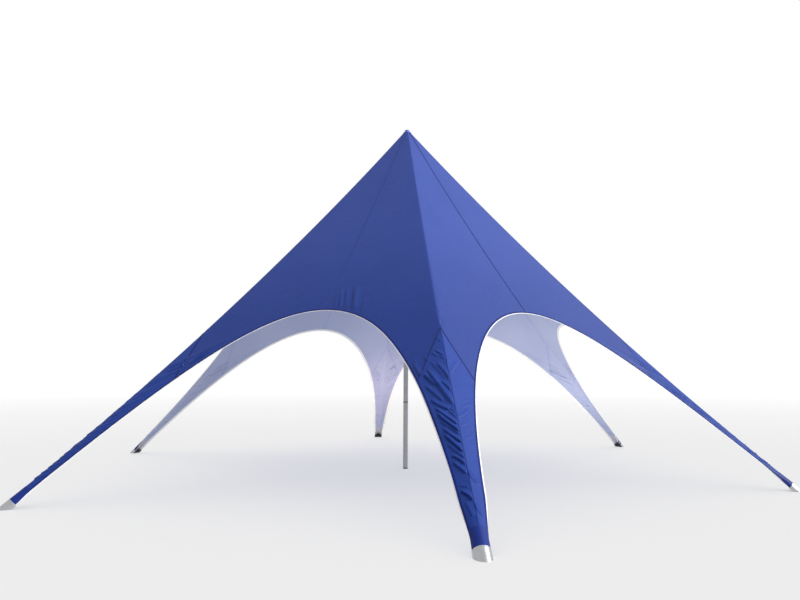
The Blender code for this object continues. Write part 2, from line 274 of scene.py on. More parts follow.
# A fold is a soft roll of cloth beside a shallow valley. Its line, the polynomial through its
# points, runs down the roll's steep side, with the crest on the side of the ridge and the peak.
# With s for the signed distance in half widths, the roll is exp of -k (s - 1)^2, where k is small
# past the crest, so the far side is gentle. The valley is a lower bell on the other side. The
# fold narrows and fades out at the line's ends.
def foldHeight(z, run, fold):
    path, depth, halfWidth = fold
    depth, halfWidth = foldForm["strength"] * depth / 1000, halfWidth / 1000
    side = np.sign(sum(r for _, r in path))
    across, down = flatPlace(z, run)
    marks = np.array([flatPlace(np.float64(h), np.float64(r)) for h, r in path])
    t, degree = np.linspace(0, 1, len(path)), len(path) - 1
    steps = np.linspace(*foldForm["reach"], 4 * len(path))
    line = np.stack([np.polyval(np.polyfit(t, marks[:, k], degree), steps) for k in (0, 1)], -1)
    ways = np.diff(line, axis=0)
    lengths = np.linalg.norm(ways, axis=1)
    before = np.concatenate([[0], np.cumsum(lengths)])
    nearest = np.full(np.shape(z), np.inf)
    signed = np.zeros(np.shape(z))
    along = np.zeros(np.shape(z))
    for i, (start, way) in enumerate(zip(line, ways)):
        t = ((across - start[0]) * way[0] + (down - start[1]) * way[1]) / lengths[i] ** 2
        t = np.clip(t, 0, 1)
        away = np.hypot(across - start[0] - t * way[0], down - start[1] - t * way[1])
        closer = away < nearest
        crossing = (across - start[0]) * way[1] - (down - start[1]) * way[0]
        rollSide = np.sign(np.dot(foldForm["rollTowards"], way))
        signed = np.where(closer, np.copysign(away, crossing * rollSide), signed)
        nearest = np.where(closer, away, nearest)
        along = np.where(closer, (before[i] + t * lengths[i]) / before[-1], along)
    fade = smooth(along / foldForm["fade"]) * smooth((1 - along) / foldForm["fade"])
    fade = fade * smooth(np.abs(run) / foldForm["ridgeGap"])
    share = signed / (halfWidth * (foldForm["narrowest"] + (1 - foldForm["narrowest"]) * fade))
    roll = np.exp(-np.where(share > 1, foldForm["gentle"], foldForm["steep"]) * (share - 1) ** 2)
    low, behind, sharpness = foldForm["valley"]
    shape = roll - low * np.exp(-sharpness * (share + behind) ** 2)
    return np.where(np.sign(run) == side, shape * fade * depth, 0.0)


# Slow waves of the cloth: a height, then two sines, each with its radians a metre across and down
# the flat cut and its share of the phase.
slowWaves = [(0.0022, (3.1, 1.9, 1), (-1.3, 2.3, 2)), (0.0012, (7.3, -2.2, 3), (0, 5.1, 1))]


# Height of the cloth above its smooth shape: the waves, which are the products of their sines and
# die out towards the seams, the peak and the ground, and then the folds near the place.
def relief(leg, z, run, toHem):
    across, down = flatPlace(z, run)
    phase = np.where(run < 0, 1.7, 0.0) + leg * 2.4
    calm = smooth((z - 0.9) / 0.8) * smooth((4.8 - z) / 0.8)
    calm *= smooth(np.abs(run) / 0.35) * smooth(across / 0.25)
    height = np.zeros(np.shape(z))
    for high, *sines in slowWaves:
        first, second = (np.sin(a * across + d * down + share * phase) for a, d, share in sines)
        height += high * first * second * calm
    for fold in legFolds[leg]:
        highest = max(h for h, _ in fold[0]) + 0.1
        lowest = min(h for h, _ in fold[0]) - 0.1
        near = (z < highest) & (z > lowest)
        if near.any():
            height[near] += foldHeight(z[near], run[near], fold)
    # The hem's webbing keeps the edge of a leg from folding.
    return height * np.maximum(smooth((toHem - 0.016) / 0.02), smooth((z - 1.75) / 0.2))


# The cloth as pitched: left of the front ridge, runs are stretched so that the hem stands askew,
# fully between the knee of the leg and the shoulder of the arch.
def onCloth(leg, z, run, depth):
    z, run, depth = np.broadcast_arrays(np.asarray(z, float), np.asarray(run, float), depth)
    toHem = runToHem(np.minimum(z, 0.99 * star["archHeight"]), 0.0)
    lean = star["askew"] * smooth((z - 0.35) / 0.7) * smooth((star["archHeight"] - z) / 0.6)
    lean = np.where((run < 0) & (leg == 0), lean, 0.0)
    run = run * (1 + lean / toHem)
    height = relief(leg, z, run, toHem + lean - np.abs(run))
    return turned(clothPoint(z, run, depth - height), legTurns[leg])


# Turns arrays into a mesh object. If its faces look inwards (negative volume), all are flipped.
def putMesh(name, places, faces, uv, materials, finishOf=None, sharp=40):
    points, quads = np.asarray(places).reshape(-1, 3), np.asarray(faces)
    a, b, c, d = (points[quads[:, k]] for k in range(4))
    volume = np.einsum("ij,ij->i", a, np.cross(b, c)).sum() + np.einsum("ij,ij->i", a, np.cross(c, d)).sum()
    if volume < 0:
        quads = quads[:, [0, 3, 2, 1]]
    mesh = bpy.data.meshes.new(name)
    rows = [row[:3] if row[2] == row[3] else row for row in quads.tolist()]
    mesh.from_pydata(points.tolist(), [], rows)
    layer = mesh.uv_layers.new(name="cut")
    corners = np.zeros(len(mesh.loops), np.int32)
    mesh.loops.foreach_get("vertex_index", corners)
    layer.data.foreach_set("uv", np.asarray(uv, np.float32).reshape(-1, 2)[corners].ravel())
    for material in materials:
        mesh.materials.append(material)
    if finishOf is not None:
        mesh.polygons.foreach_set("material_index", np.asarray(finishOf, np.int32))
    mesh.polygons.foreach_set("use_smooth", np.ones(len(mesh.polygons), bool))
    mesh.set_sharp_from_angle(angle=math.radians(sharp))
    mesh.validate()
    mesh.update()
    thing = bpy.data.objects.new(name, mesh)
    bpy.context.scene.collection.objects.link(thing)
    return thing


# The faces of a grid. A ring joins its last column to the first, and a closed one its rows too.
def gridFaces(rows, columns, ring=False, closed=False):
    numbers = np.arange(rows * columns).reshape(rows, columns)
    if closed:
        numbers = np.concatenate([numbers, numbers[:1]])
    if ring:
        numbers = np.concatenate([numbers, numbers[:, :1]], 1)
    corners = numbers[:-1, :-1], numbers[:-1, 1:], numbers[1:, 1:], numbers[1:, :-1]
    return np.stack([c.ravel() for c in corners], -1)


# A sheet with thickness: an outer and an inner grid, joined along their edges by a rim.
def putSheet(name, outer, inner, uv, materials, ring=False):
    rows, columns = outer.shape[:2]
    count = rows * columns
    faces = gridFaces(rows, columns, ring)
    numbers = np.arange(count).reshape(rows, columns)
    if ring:
        loops = [np.append(numbers[0], numbers[0, 0]), np.append(numbers[-1], numbers[-1, 0])[::-1]]
    else:
        edge = np.concatenate([numbers[0], numbers[1:, -1], numbers[-1, -2::-1], numbers[-2::-1, 0]])
        loops = [edge]
    rims = [np.stack([e[1:], e[:-1], e[:-1] + count, e[1:] + count], -1) for e in loops]
    quads = np.concatenate([faces, faces[:, [0, 3, 2, 1]] + count, *rims])
    finishOf = np.zeros(len(quads), int)
    finishOf[len(faces) : 2 * len(faces)] = min(1, len(materials) - 1)
    places = np.concatenate([outer.reshape(-1, 3), inner.reshape(-1, 3)])
    both = np.concatenate([uv.reshape(-1, 2), uv.reshape(-1, 2)])
    return putMesh(name, places, quads, both, materials, finishOf)


# A closed profile carried along a path: rings of points, with a fan of faces over each end.
def putLoft(name, rings, uv, materials, sharp=40):
    count, around = rings.shape[:2]
    faces = gridFaces(count, around, ring=True)
    places = [rings.reshape(-1, 3)]
    uvs = [np.asarray(uv).reshape(-1, 2)]
    caps = []
    for end, ring in ((0, 0), (1, count - 1)):
        hub = count * around + end
        numbers = ring * around + np.arange(around)
        after = np.roll(numbers, -1)
        hubs = np.full(around, hub)
        pair = (after, numbers) if end == 0 else (numbers, after)
        caps.append(np.stack([*pair, hubs, hubs], -1))
        places.append(rings[ring].mean(0)[None])
        uvs.append(uvs[0][numbers].mean(0)[None])
    faces = np.concatenate([faces, *caps])
    return putMesh(name, np.concatenate(places), faces, np.concatenate(uvs), materials, None, sharp)


# The distance walked along a row of rings, from middle to middle.
def lengthAlong(rings):
    steps = np.linalg.norm(np.diff(rings.mean(1), axis=0), axis=1)
    return np.concatenate([[0], np.cumsum(steps)])


# Several mesh objects as one.
def joinMeshes(name, things):
    bpy.ops.object.select_all(action="DESELECT")
    for thing in things:
        thing.select_set(True)
    bpy.context.view_layer.objects.active = things[0]
    bpy.ops.object.join()
    things[0].name = name
    things[0].data.name = name
    return things[0]


print("materials")


# A new material, its node tree and its surface node.
def newMaterial(name):
    material = bpy.data.materials.new(name)
    material.use_nodes = True
    tree = material.node_tree
    return material, tree, tree.nodes["Principled BSDF"]


# Sets sockets by name, or by number as in i6, to a value or to another node's socket.
def setSockets(tree, node, **sockets):
    for key, value in sockets.items():
        numbered = key[0] == "i" and key[1:].isdigit()
        socket = node.inputs[int(key[1:]) if numbered else key.replace("_", " ")]
        if isinstance(value, bpy.types.NodeSocket):
            tree.links.new(value, socket)
        else:
            socket.default_value = value


# A node with its settings and sockets set.
def addNode(tree, kind, settings=None, **sockets):
    made = tree.nodes.new(kind)
    for key, value in (settings or {}).items():
        setattr(made, key, value)
    setSockets(tree, made, **sockets)
    return made


# The first colour at share 0 and the second at 1.
def blendColours(tree, share, first, second):
    settings = dict(data_type="RGBA", blend_type="MIX")
    return addNode(tree, "ShaderNodeMix", settings, i0=share, i6=first, i7=second).outputs[2]


# One step of arithmetic. MULTIPLY_ADD is first times second plus third.
def calculate(tree, operation, first, second, third=None):
    made = addNode(tree, "ShaderNodeMath", dict(operation=operation), i0=first, i1=second)
    if third is not None:
        made.inputs[2].default_value = third
    return made.outputs[0]


# Fractal noise in space.
def noise(tree, places, scale, detail, **more):
    return addNode(tree, "ShaderNodeTexNoise", Vector=places, Scale=scale, Detail=detail, **more)


# The same on the flat cut.
def flatNoise(tree, places, scale, detail, **more):
    settings = dict(noise_dimensions="2D")
    return addNode(tree, "ShaderNodeTexNoise", settings, Vector=places, Scale=scale, Detail=detail, **more)


# A colour with each channel times a share, and alpha 1.
def shaded(colour, share=1.0):
    return (*(channel * share for channel in colour), 1)


# Two crossed sets of threads: a sine along the cut times a sine across it.
def weaveHeight(tree, places, threadWidth):
    scale = 2 * math.pi / (20 * 2 * threadWidth)
    warp = addNode(tree, "ShaderNodeTexWave", dict(bands_direction="X"), Vector=places, Scale=scale)
    weft = addNode(tree, "ShaderNodeTexWave", dict(bands_direction="Y"), Vector=places, Scale=scale)
    return calculate(tree, "MULTIPLY", warp.outputs["Fac"], weft.outputs["Fac"])


# Places on the flat cut, in metres.
def cutPlaces(tree):
    return addNode(tree, "ShaderNodeUVMap", dict(uv_map="cut")).outputs[0]


canopyFinish = dict(
    outer=(0.024, 0.053, 0.262),
    outerDeep=(0.017, 0.043, 0.232),
    # The leg cloth is darker than the crown's: painted shade, as the lower cloth catches less sheen.
    leg=(0.018, 0.047, 0.245),
    legDeep=(0.012, 0.037, 0.21),
    inner=(0.385, 0.425, 0.61),
    innerDeep=(0.335, 0.38, 0.57),
    # painted shade: the colour the cloth darkens to lower down the crown and the legs
    low=(0.008, 0.030, 0.19),  # cloth near the ground
    # The hem band's dark blue is painted shade of the cloth's edge turning inwards.
    hemBand=(0.006, 0.017, 0.155),
    seam=(0.005, 0.012, 0.08),
    closeSeam=(0.017, 0.038, 0.19),
    # A paler seam colour for seams on the side in shade: painted light, where the same seam shows faintly.
    shadeSideSeam=(0.010, 0.024, 0.125),
    # The sleeve's dark blue is painted shade of the curled lower leg.
    sleeve=(0.008, 0.025, 0.17),
    tape=(0.33, 0.37, 0.6),
    tapeDeep=(0.29, 0.33, 0.56),
    # The binding's grey is painted shade: the pale hem fabric as it looks in shade inside the foot.
    binding=(0.50, 0.51, 0.55),
    bindingDeep=(0.44, 0.45, 0.5),
    webbing=(0.86, 0.86, 0.88),
    threadWidth=0.0011,
)


# Coated cloth: colour drifts slowly, threads cross in the bump, and fine creases catch the light.
# low paints shade: it darkens the cloth between two distances down the cut, up to a share, as lower cloth
# gets less light. foldLine darkens a line along the ridge.
def clothMaterial(name, colour, deep, crease=0.1, gloss=0.35, sheen=0.0, foldLine=0.0, low=None, rough=0.5):
    material, tree, surface = newMaterial(name)
    places = cutPlaces(tree)
    drift = flatNoise(tree, places, 1.7, 4.0)
    fine = flatNoise(tree, places, 60.0, 3.0)
    share = calculate(tree, "MULTIPLY_ADD", drift.outputs["Fac"], 1.6, -0.35)
    colourNow = blendColours(tree, share, shaded(colour), shaded(deep))
    fineShare = calculate(tree, "MULTIPLY", fine.outputs["Fac"], 0.35)
    colourNow = blendColours(tree, fineShare, colourNow, shaded(colour, 0.9))
    # Painted shade: darker further down the cut.
    if low:
        down = addNode(tree, "ShaderNodeSeparateXYZ", Vector=places).outputs[1]
        span = dict(From_Min=low[0], From_Max=low[1], To_Max=low[2])
        paintedLowShade = addNode(tree, "ShaderNodeMapRange", Value=down, **span).outputs[0]
        colourNow = blendColours(tree, paintedLowShade, colourNow, shaded(canopyFinish["low"]))
    # A narrow darker line along the ridge, blended towards the seam colour.
    if foldLine:
        across = addNode(tree, "ShaderNodeSeparateXYZ", Vector=places).outputs[0]
        off = calculate(tree, "ABSOLUTE", across, 0.0)
        span = dict(From_Min=0.003, From_Max=0.008, To_Min=foldLine, To_Max=0.0)
        ridgeDarkening = addNode(tree, "ShaderNodeMapRange", Value=off, **span)
        colourNow = blendColours(tree, ridgeDarkening.outputs[0], colourNow, shaded(canopyFinish["seam"]))
    weave = weaveHeight(tree, places, canopyFinish["threadWidth"])
    creases = flatNoise(tree, places, 9.0, 5.0, Roughness=0.55, Distortion=0.6).outputs["Fac"]
    threads = addNode(tree, "ShaderNodeBump", Strength=0.25, Distance=0.0003, Height=weave).outputs[0]
    bump = addNode(tree, "ShaderNodeBump", Strength=crease, Distance=0.012, Height=creases, Normal=threads)
    roughness = calculate(tree, "MULTIPLY_ADD", fine.outputs["Fac"], 0.12, rough - 0.06)
    setSockets(tree, surface, Base_Color=colourNow, Normal=bump.outputs[0], Roughness=roughness)
    setSockets(tree, surface, Specular_IOR_Level=gloss)
    setSockets(tree, surface, Sheen_Weight=sheen, Sheen_Roughness=0.45, Sheen_Tint=(0.75, 0.8, 1, 1))
    return material


# One cloth of the canopy, from the names of its two colours.
def canopyCloth(name, colour, deep, **more):
    return clothMaterial(name, canopyFinish[colour], canopyFinish[deep], **more)


# low paints shade: darker towards the arches on the crown and towards the ground on the legs.
blueCloth = canopyCloth("blueCloth", "outer", "outerDeep", crease=0.25, gloss=0.2, low=(2.4, 4.0, 0.85))
legLook = dict(crease=0.25, gloss=0.12, foldLine=0.8, low=(5.3, 6.4, 0.7))
legCloth = canopyCloth("legCloth", "leg", "legDeep", **legLook)
# The sleeve is a real piece; its darker blue is painted shade.
shadedSleeveCloth = canopyCloth("shadedSleeveCloth", "sleeve", "hemBand", crease=0.25, gloss=0.15)
# The paler seam for the side in shade: painted light.
shadeSideSeam = canopyCloth("shadeSideSeam", "shadeSideSeam", "hemBand", gloss=0.15)
closeSeam = canopyCloth("closeSeam", "closeSeam", "outerDeep", gloss=0.2)
innerCoat = canopyCloth("innerCoat", "inner", "innerDeep", rough=0.6, crease=0.15)
# The hem band's darker blue is painted shade.
shadedHemBandCloth = canopyCloth("shadedHemBandCloth", "hemBand", "seam", gloss=0.1)
seamCloth = canopyCloth("seamCloth", "seam", "hemBand", rough=0.55, gloss=0.1)
innerTape = canopyCloth("innerTape", "tape", "tapeDeep", rough=0.6)
# The binding's grey is painted shade.
shadedBinding = canopyCloth("shadedBinding", "binding", "bindingDeep", rough=0.65)


# Woven webbing: ribs in a zigzag, which are the sine of the way along it plus a ping-pong of the
# way across, and a slow drift towards a soiled white.
def webbingMaterial(name, colour):
    material, tree, surface = newMaterial(name)
    places = cutPlaces(tree)
    split = addNode(tree, "ShaderNodeSeparateXYZ", Vector=places)
    along, across = split.outputs[0], split.outputs[1]
    zigzag = calculate(tree, "PINGPONG", across, 0.004)
    slanted = calculate(tree, "ADD", along, zigzag)
    ribs = calculate(tree, "SINE", calculate(tree, "MULTIPLY", slanted, 2 * math.pi / 0.0032), 0.0)
    drift = flatNoise(tree, places, 11.0, 4.0)
    soiled = calculate(tree, "MULTIPLY_ADD", drift.outputs["Fac"], 1.4, -0.3)
    shade = blendColours(tree, soiled, shaded(colour), shaded(colour, 0.86))
    ribShade = calculate(tree, "MULTIPLY_ADD", ribs, 0.05, 0.05)
    shade = blendColours(tree, ribShade, shade, shaded(colour, 0.6))
    bump = addNode(tree, "ShaderNodeBump", Strength=0.5, Distance=0.0006, Height=ribs)
    setSockets(tree, surface, Base_Color=shade, Normal=bump.outputs[0], Roughness=0.75)
    setSockets(tree, surface, Sheen_Weight=0.15, Sheen_Roughness=0.5)
    return material


webbing = webbingMaterial("whiteWebbing", canopyFinish["webbing"])


# Drawn metal: fine streaks along one axis of the object, in colour, roughness and bump.
def metalMaterial(name, colour, roughness, stretch):
    material, tree, surface = newMaterial(name)
    places = addNode(tree, "ShaderNodeTexCoord").outputs["Object"]
    scaled = addNode(tree, "ShaderNodeVectorMath", dict(operation="MULTIPLY"), i0=places, i1=stretch)
    streaks = noise(tree, scaled.outputs[0], 1.0, 5.0, Roughness=0.65)
    cloud = noise(tree, places, 14.0, 3.0)
    shade = blendColours(tree, streaks.outputs["Fac"], shaded(colour), shaded(colour, 0.82))
    cloudShare = calculate(tree, "MULTIPLY_ADD", cloud.outputs["Fac"], 1.2, -0.45)
    limited = addNode(tree, "ShaderNodeClamp", Value=cloudShare).outputs[0]
    shade = blendColours(tree, limited, shade, shaded(colour, 0.7))
    rough = calculate(tree, "MULTIPLY_ADD", streaks.outputs["Fac"], 0.2, roughness - 0.1)
    bump = addNode(tree, "ShaderNodeBump", Strength=0.2, Distance=0.0005, Height=streaks.outputs["Fac"])
    setSockets(tree, surface, Base_Color=shade, Normal=bump.outputs[0], Roughness=rough, Metallic=1.0)
    return material


poleMetal = metalMaterial("poleMetal", (0.42, 0.43, 0.45), 0.36, (400, 400, 3))
footMetal = metalMaterial("footMetal", (0.60, 0.605, 0.63), 0.3, (160, 160, 160))


# Moulded rubber and plastic: a fine pebbled skin with paler rubbed spots.
def mouldedMaterial(name, colour, rubbed, roughness, pebble):
    material, tree, surface = newMaterial(name)
    places = addNode(tree, "ShaderNodeTexCoord").outputs["Object"]
    grain = addNode(tree, "ShaderNodeTexVoronoi", Vector=places, Scale=pebble)
    wear = noise(tree, places, 30.0, 5.0)
    wornShare = calculate(tree, "MULTIPLY_ADD", wear.outputs["Fac"], 2.5, -1.2)
    limited = addNode(tree, "ShaderNodeClamp", Value=wornShare).outputs[0]
    shade = blendColours(tree, limited, shaded(colour), shaded(rubbed))
    bump = addNode(tree, "ShaderNodeBump", Strength=0.3, Distance=0.0004, Height=grain.outputs["Distance"])
    rough = calculate(tree, "MULTIPLY_ADD", wear.outputs["Fac"], 0.2, roughness - 0.1)
    setSockets(tree, surface, Base_Color=shade, Normal=bump.outputs[0], Roughness=rough)
    return material


blackRubber = mouldedMaterial("blackRubber", (0.012, 0.012, 0.014), (0.035, 0.035, 0.038), 0.6, 900)
darkPlastic = mouldedMaterial("darkPlastic", (0.03, 0.031, 0.034), (0.05, 0.05, 0.055), 0.5, 1400)
jointPlastic = mouldedMaterial("jointPlastic", (0.15, 0.152, 0.16), (0.2, 0.2, 0.21), 0.5, 1400)

print("canopy")

crown = dict(
    thickness=0.0022,
    columns=(22, 24),  # of half a face, on the V seam and on the arch
    finer=(60, 110),  # the same for the half face with the most folds
    rows=70,
    crowding=1.7,  # above 1, rows lie closer together at the lower edge
)


# Height of the V seam, a straight line from the ridge (share 0) to the hem (share 1).
def seamHeight(share):
    end = archPoint(star["seamLevel"], star["blueEdge"])[0]
    return star["seamRidge"] + (end - star["seamRidge"]) * share


# Half the width of a leg piece: to the hem, and above the V's ends as wide as it is there, so
# that the V seam is straight.
def legWidth(z):
    return runToHem(np.minimum(z, archPoint(star["seamLevel"], star["blueEdge"])[0]), star["blueEdge"])


# The lower edge of half a crown face, from the ridge along the V seam, then up the arch.
def crownEdge(columnsOnSeam, columnsOnArch):
    share = np.linspace(0, 1, columnsOnSeam, endpoint=False) ** 0.9
    seamZ = seamHeight(share)
    seamRun = share * legWidth(seamZ)
    steps = np.linspace(0, 1, columnsOnArch)
    level = 1 - (1 - star["seamLevel"]) * (1 - steps) ** 2
    archZ, archRun = archPoint(level, star["blueEdge"])
    return np.append(seamZ, archZ), np.append(seamRun, archRun)


# Every column of the crown climbs at one bearing, from the lower edge to the ring at the peak. The
# first column of each left half is the last one of the half before it, so it is left out.
def crownGrid(depth):
    climb = np.linspace(0, 1, crown["rows"])[:, None] ** crown["crowding"]
    grids, cuts = [], []
    for leg in range(6):
        for side in (-1, 1):
            edgeZ, edgeRun = crownEdge(*crown["finer" if (leg, side) == (0, -1) else "columns"])
            z = edgeZ + (star["top"] - edgeZ) * climb
            run = side * edgeRun / ridgeRadius(edgeZ) * ridgeRadius(z)
            order = slice(None, 0, -1) if side < 0 else slice(None)
            kept = slice(1, None) if side < 0 else slice(None)
            grids.append(onCloth(leg, z, run, depth)[:, order][:, kept])
            cuts.append(np.stack(flatPlace(z, run), -1)[:, order][:, kept])
    return np.concatenate(grids, 1), np.concatenate(cuts, 1)


outerCrown, crownCut = crownGrid(0.0)
innerCrown, _ = crownGrid(crown["thickness"])
crownSheet = putSheet("crownCanopy", outerCrown, innerCrown, crownCut, [blueCloth, innerCoat], ring=True)
print("crown faces", len(crownSheet.data.polygons))

legSheets = dict(rows=260, columns=26, frontRows=440, frontColumns=50, lowest=0.004)


# A leg is folded over its ridge. Rows climb from the ground to the V seam, and columns divide
# the run from the ridge to the hem.
def legGrid(leg, depth):
    rows = legSheets["frontRows"] if leg == 0 else legSheets["rows"]
    columns = legSheets["frontColumns"] if leg == 0 else legSheets["columns"]
    share = np.linspace(-1, 1, 2 * columns + 1)
    share = np.sign(share) * np.abs(share) ** 1.1
    lowest = legSheets["lowest"]
    z = lowest + (seamHeight(np.abs(share)) - lowest) * np.linspace(0, 1, rows)[:, None]
    run = share * legWidth(z)
    return onCloth(leg, z, run, depth), np.stack([run, flatPlace(z, run)[1]], -1)


legPieces = []
for leg, name in enumerate(legNames):
    outerLeg, legCut = legGrid(leg, 0.0)
    innerLeg, _ = legGrid(leg, crown["thickness"])
    legPieces.append(putSheet("leg_" + name, outerLeg, innerLeg, legCut, [legCloth, innerCoat]))
print("leg faces", len(legPieces[0].data.polygons))

print("hems and seams")

hem = dict(
    top=0.0024,
    bottom=0.0050,
    stepsPerHalf=260,
    band=0.019,  # width of the turned edge of the blue cloth
    bandProud=0.0013,
)

# The webbing's profile: inset, and share of the way from its top to its bottom depth.
webbingForm = [(-0.0236, 0), (-0.016, 0), (-0.004, 0), (0.006, 0), (0.0135, 0), (0.0150, 0.32)]
webbingForm += [(0.0150, 0.68), (0.0135, 1), (0.004, 1), (-0.006, 1), (-0.016, 1), (-0.0236, 1)]
webbingForm += [(-0.0250, 0.7), (-0.0250, 0.3)]


# Both profiles are points of (inset, depth), the outer side first.
def webbingProfile():
    span = hem["bottom"] - hem["top"]
    return [(inset, hem["top"] + span * share) for inset, share in webbingForm]


def bandProfile():
    proud, wide = hem["bandProud"], hem["band"]
    profile = [(-0.0008, 0.0021), (-0.0014, 0.0004), (-0.0008, -proud), (0.006, -proud - 0.0002)]
    profile += [(0.014, -proud), (wide, -proud * 0.8), (wide + 0.0006, -0.0002)]
    profile += [(0.010, -0.0001), (0.001, -0.0001)]
    return [(inset + star["blueEdge"], depth) for inset, depth in profile]


# The arch of one face from foot to foot, for every point of a profile of (inset, depth): the
# share c of the half width goes from the foot to the top, and the level is (1 - c^2)^p.
def alongArch(face, profile, lowest=0.0022):
    widest = math.sqrt(1 - lowest ** (1 / star["archPower"]))
    level = (1 - np.linspace(widest, 0, hem["stepsPerHalf"])[:, None] ** 2) ** star["archPower"]
    inset, depth = np.array(profile).T[:, None]
    z, run = archPoint(level, inset)
    up = onCloth(face, z, run, depth)
    down = onCloth((face + 1) % 6, z, -run, depth)[::-1]
    rings = np.concatenate([up, down[1:]])
    length = lengthAlong(rings)
    return rings, np.stack(np.broadcast_arrays(length[:, None], inset), -1), length[-1]


hemPieces, bandPieces = [], []
for face, name in enumerate(faceNames):
    rings, uv, hemLength = alongArch(face, webbingProfile())
    hemPieces.append(putLoft("webbing_" + name, rings, uv, [webbing], 50))
    rings, uv, _ = alongArch(face, bandProfile(), 0.04)
    bandPieces.append(putLoft("hem_band_" + name, rings, uv, [shadedHemBandCloth], 50))
print("hem length", round(hemLength, 2))

seam = dict(
    width=0.016,
    proud=0.0012,
    tape=0.024,
    tapeThick=0.0009,
    off=0.0001,  # gap to the cloth in the middle of a strip
    ridgeGap=0.0004,
    ridgeSteps=150,
    veeSteps=60,
    middleSteps=110,
)


# The profile of a strip sewn on the cloth, as (offset, depth): a seam lies on its outside and a
# tape on its inside.
def stripProfile(outside):
    if outside:
        half, base, off = seam["width"] / 2, 0.0, -seam["off"]
        edge, top = -seam["proud"] * 0.8, -seam["proud"]
    else:
        half, base, off = seam["tape"] / 2, crown["thickness"], seam["off"]
        edge = top = base + seam["tapeThick"]
    flat = half * 0.4
    loop = [(-half, base), (-half, edge), (-flat, top), (flat, top), (half, edge), (half, base)]
    return loop + [(flat, base + off), (-flat, base + off)]


# That profile along a seam's heights and runs. Its places come from the cloth, so it lies in every
# fold. keepSide holds an arm of the V on its own side of the ridge.
def stripRings(leg, z, run, outside, keepSide=0):
    offset, depth = np.array(stripProfile(outside)).T[:, None]
    runs = run[:, None] + offset
    if keepSide:
        runs = keepSide * np.maximum(keepSide * runs, seam["ridgeGap"])
    rings = onCloth(leg, z[:, None], runs, depth)
    return rings, np.stack(np.broadcast_arrays(lengthAlong(rings)[:, None], offset), -1)


# Such a strip as a piece of its own.
def putStrip(name, finish, *where):
    rings, uv = stripRings(*where)
    return putLoft(name, rings, uv, [finish], 50)


for outside, word, finish in ((True, "seam", seamCloth), (False, "tape", innerTape)):
    along = closeSeam if outside else innerTape
    # Outside, the left arms of the V take the paler seam colour: painted light for the side that lies in
    # shade.
    leftArm = shadeSideSeam if outside else finish
    for leg, name in enumerate(legNames):
        z = np.linspace(star["seamRidge"] + 0.004, star["top"] - 0.012, seam["ridgeSteps"])
        putStrip(f"ridge_{word}_{name}", along, leg, z, 0 * z, outside)
        z = np.linspace(star["archHeight"] + 0.012, star["top"] - 0.012, seam["middleSteps"])
        face = faceNames[leg]
        # The middle seam of the front left face takes the paler close seam colour: painted light, as on that
        # shaded face the seam shows faintly.
        shade = along if face == "front_left" else finish
        putStrip(f"middle_{word}_{face}", shade, leg, z, ridgeRadius(z) / 2, outside)
        arms = []
        for side, shade in ((-1, leftArm), (1, finish)):
            share = np.linspace(0.004, 0.97, seam["veeSteps"])
            z = seamHeight(share)
            arms.append(putStrip("arm", shade, leg, z, side * share * legWidth(z), outside, side))
        joinMeshes(f"vee_{word}_{name}", arms)

print("feet")

foot = dict(
    shellRadius=0.0775,
    wall=0.004,
    length=0.15,
    blockRadius=0.0680,
    blockStart=0.012,
    arcSteps=36,
    sleeveTop=0.21,  # height of the sleeve's upper edge on the ridge
    patchTop=0.215,
    taper=0.13,  # both get narrower towards their upper edge
    lip=0.0014,  # rounding of the shell's edges
    blockEdge=0.003,
)
footAlong = np.array([math.cos(footAngle), 0, -math.sin(footAngle)])
footUp = np.array([math.sin(footAngle), 0, math.cos(footAngle)])
shellRise = foot["shellRadius"] - star["legRadius"]
groundPoint = np.array([float(ridgeRadius(0.0)), 0, 0]) + footUp * shellRise
groundPoint = groundPoint + footAlong * (groundPoint[2] / math.sin(footAngle))
shellStart = groundPoint - footAlong * foot["length"] - footUp * foot["shellRadius"]


# A profile of (across, up) carried down the foot's axis until it meets the ground. The rings
# start a little smaller, which rounds the upper rim.
def footSolid(profile, small, start, rounding):
    origin = shellStart + footAlong * start
    profile, small = np.array(profile), np.array(small)
    reach = (origin[2] + math.cos(footAngle) * profile[:, 1]) / math.sin(footAngle)
    rings = []
    for step in np.linspace(0, 1, 5):
        ring = small + (profile - small) * math.sqrt(1 - (1 - step) ** 2)
        rings.append((ring, np.full(len(profile), rounding * step)))
    for step in np.linspace(0, 1, 9)[1:]:
        rings.append((profile, rounding + (reach - rounding) * step))
    across = np.array([0, 1, 0])
    places = [origin + r[:, :1] * across + r[:, 1:] * footUp + t[:, None] * footAlong for r, t in rings]
    return np.array(places), np.array([np.stack([t, r[:, 0]], -1) for r, t in rings])


# Points on a circle, at equal steps of angle.
def arc(radius, start, end, steps, centre=(0, 0)):
    angles = np.linspace(start, end, steps)
    return [(centre[0] + radius * math.cos(a), centre[1] + radius * math.sin(a)) for a in angles]


# Half a pipe whose two lips are rounded, and half a rod whose lower corners are rounded.
def pipeProfile(outer, inner):
    middle, half = (outer + inner) / 2, (outer - inner) / 2
    steps = foot["arcSteps"]
    loop = arc(outer, 0, math.pi, steps) + arc(half, math.pi, 2 * math.pi, 7, (-middle, 0))[1:-1]
    return loop + arc(inner, math.pi, 0, steps) + arc(half, math.pi, 2 * math.pi, 7, (middle, 0))[1:-1]


def rodProfile(radius, corner):
    lift = math.asin(corner / (radius - corner))
    loop = arc(radius, lift, math.pi - lift, foot["arcSteps"])
    left = (-(radius - corner) * math.cos(lift), corner)
    right = (-left[0], corner)
    loop += arc(corner, math.pi - lift, 1.5 * math.pi, 5, left)[1:]
    return loop + arc(corner, 1.5 * math.pi, 2 * math.pi + lift, 5, right)[:-1]


